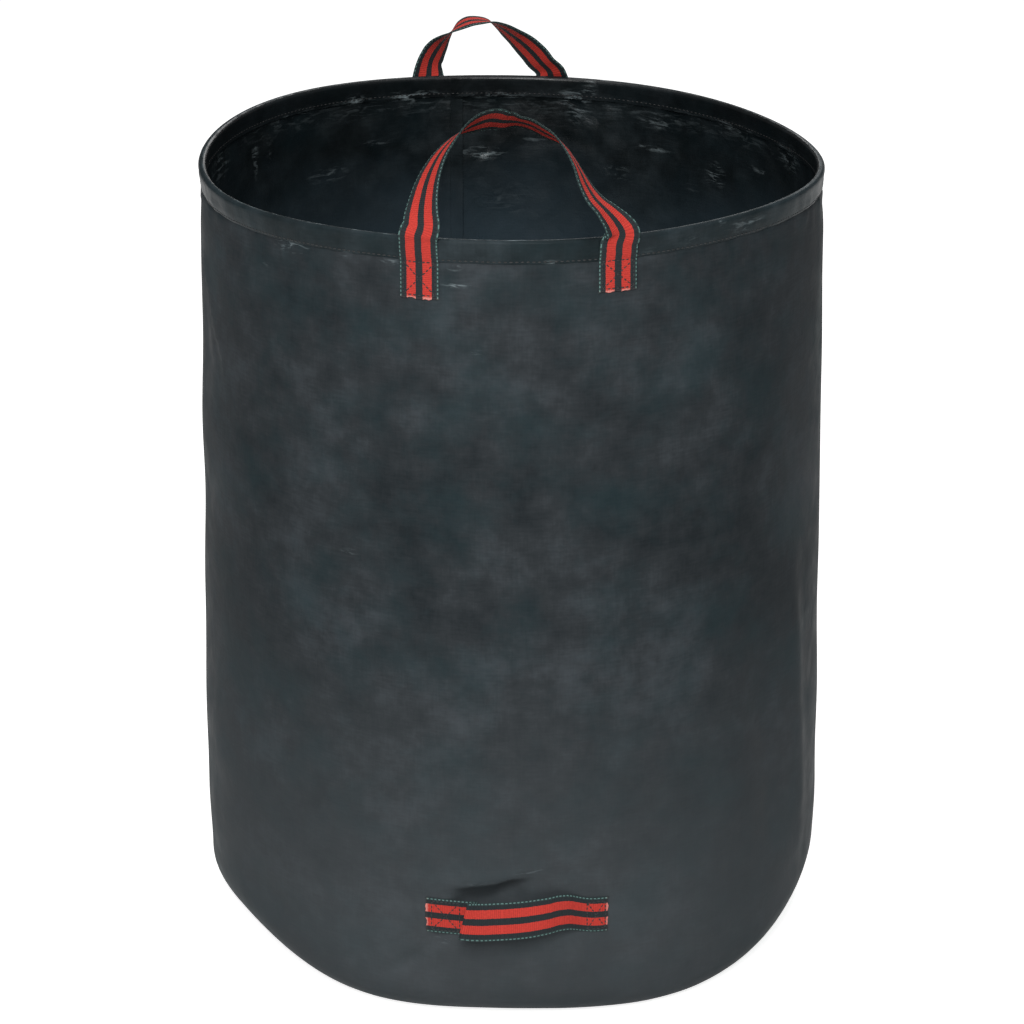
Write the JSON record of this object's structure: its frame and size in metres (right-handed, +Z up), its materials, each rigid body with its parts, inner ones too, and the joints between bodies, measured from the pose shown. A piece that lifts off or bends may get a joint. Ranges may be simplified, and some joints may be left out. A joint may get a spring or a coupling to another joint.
{
  "type": "garden bag",
  "caption": "Round self-standing garden waste bag of woven cloth, with a hooped rim, webbing lift handles and a low tipping handle.",
  "frame": {"origin": "on the floor, at the middle of the round base's underside", "axes": "+Z up through the mouth; -Y the front, the side with the tipping handle; +X to the right seen from the front"},
  "size_m": [0.695, 0.7374, 1.0088],
  "materials": {
    "wall_cloth": "laminated woven polypropylene, faint satin sheen",
    "inner_cloth": "laminated woven polypropylene, inside face",
    "hem_cloth": "laminated woven polypropylene, folded over the hoop",
    "hoop_rod": "drawn glass-fibre rod, satin",
    "joiner_sleeve": "moulded plastic, matt",
    "webbing": "striped polypropylene webbing, matt"
  },
  "bodies": {
    "root": {"wall_panel": "wall_cloth", "base_panel": "wall_cloth", "base_seam_allowance": "inner_cloth", "side_seam_allowance": "inner_cloth", "bottom_handle_left_foot": "webbing", "bottom_handle_right_foot": "webbing"},
    "rim": {"rim_hem": "hem_cloth", "rim_hoop": "hoop_rod", "hoop_joiner": "joiner_sleeve", "front_handle_left_foot": "webbing", "front_handle_right_foot": "webbing", "rear_handle_left_foot": "webbing", "rear_handle_right_foot": "webbing"},
    "front_handle": {"front_handle_loop": "webbing"},
    "rear_handle": {"rear_handle_loop": "webbing"},
    "bottom_handle": {"bottom_handle_loop": "webbing"}
  },
  "joints": [
    {"name": "rim_collapse", "type": "slide", "parent": "root", "child": "rim", "axis": [0, 0, -1], "range_m": [0, 0.685], "deforming": ["wall_panel", "side_seam_allowance"]},
    {"name": "front_handle_swing", "type": "hinge", "parent": "rim", "child": "front_handle", "pos_m": [0.0075, -0.329, 0.884], "axis": [1, 0, 0], "range_deg": [-64, 173]},
    {"name": "rear_handle_swing", "type": "hinge", "parent": "rim", "child": "rear_handle", "pos_m": [-0.026, 0.3349, 0.884], "axis": [-1, 0, 0], "range_deg": [-97, 140]},
    {"name": "bottom_handle_swing", "type": "hinge", "parent": "root", "child": "bottom_handle", "pos_m": [0.006, -0.3545, 0.133], "axis": [-1, 0, 0], "range_deg": [-10, 40]}
  ]
}
